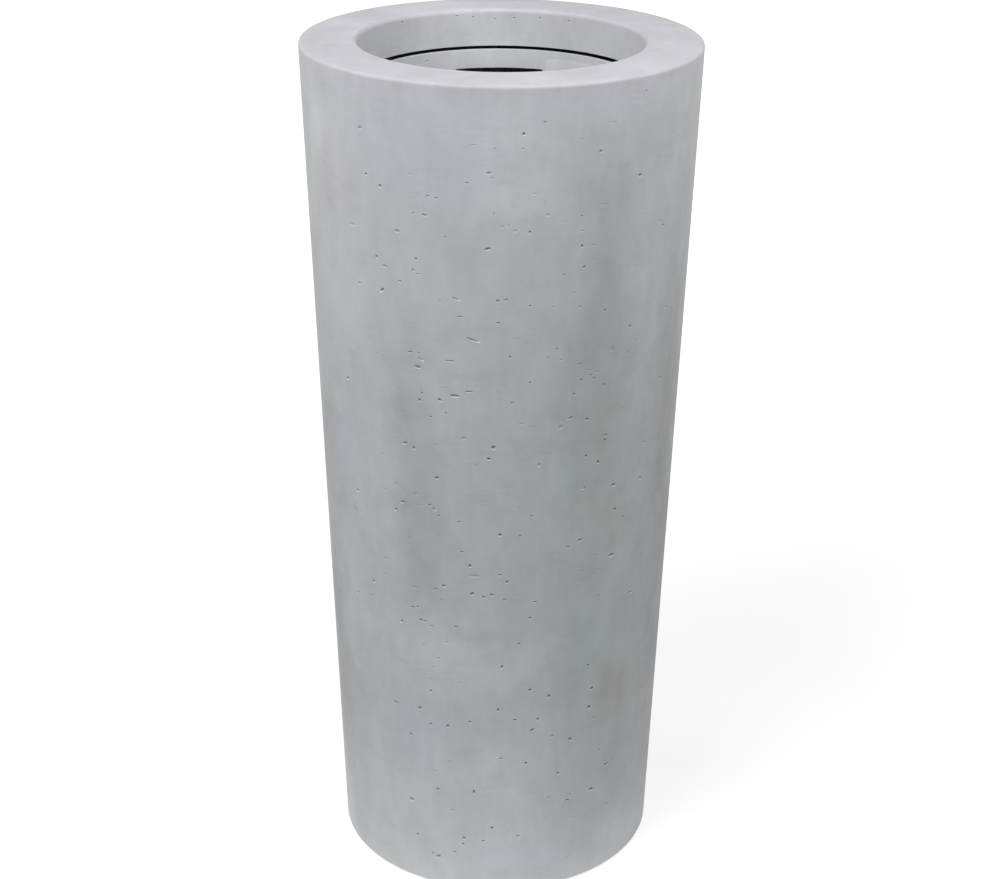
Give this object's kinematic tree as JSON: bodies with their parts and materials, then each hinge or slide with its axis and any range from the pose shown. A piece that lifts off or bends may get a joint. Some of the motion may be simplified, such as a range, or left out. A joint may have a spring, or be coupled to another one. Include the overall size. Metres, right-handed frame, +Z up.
{
  "type": "tall round planter",
  "caption": "Tall tapered round floor planter in cement-look fibreglass, with an inturned rim and a lift-out planting insert with hand slots.",
  "frame": {"origin": "on the floor under the planter's centre line", "axes": "+Z up along the centre line, +Y away from the viewer of the picture, +X to the right"},
  "size_m": [0.4497, 0.4498, 1],
  "materials": {
    "cement_gelcoat": "matt cast-cement gelcoat with fine pits",
    "insert_gelcoat": "matt cast-cement gelcoat",
    "raw_laminate": "dark unfinished glass laminate",
    "rubber": "matt black rubber"
  },
  "bodies": {
    "planter": {"shell": "cement_gelcoat", "base_plate": "raw_laminate", "foot_pads": "rubber", "insert_shelf": "raw_laminate", "shelf_gussets": "raw_laminate"},
    "insert": {"planting_insert": "insert_gelcoat"},
    "insert_bung": {"insert_plug": "rubber"},
    "base_bung": {"base_plug": "rubber"}
  },
  "joints": [
    {"name": "insert_lift", "type": "slide", "parent": "planter", "child": "insert", "axis": [0, 0, 1], "range_m": [0, 0.46]},
    {"name": "insert_plug_pull", "type": "slide", "parent": "insert", "child": "insert_bung", "axis": [0, 0, 1], "range_m": [0, 0.03]},
    {"name": "base_plug_pull", "type": "slide", "parent": "planter", "child": "base_bung", "axis": [0, 0, 1], "range_m": [0, 0.03]}
  ]
}
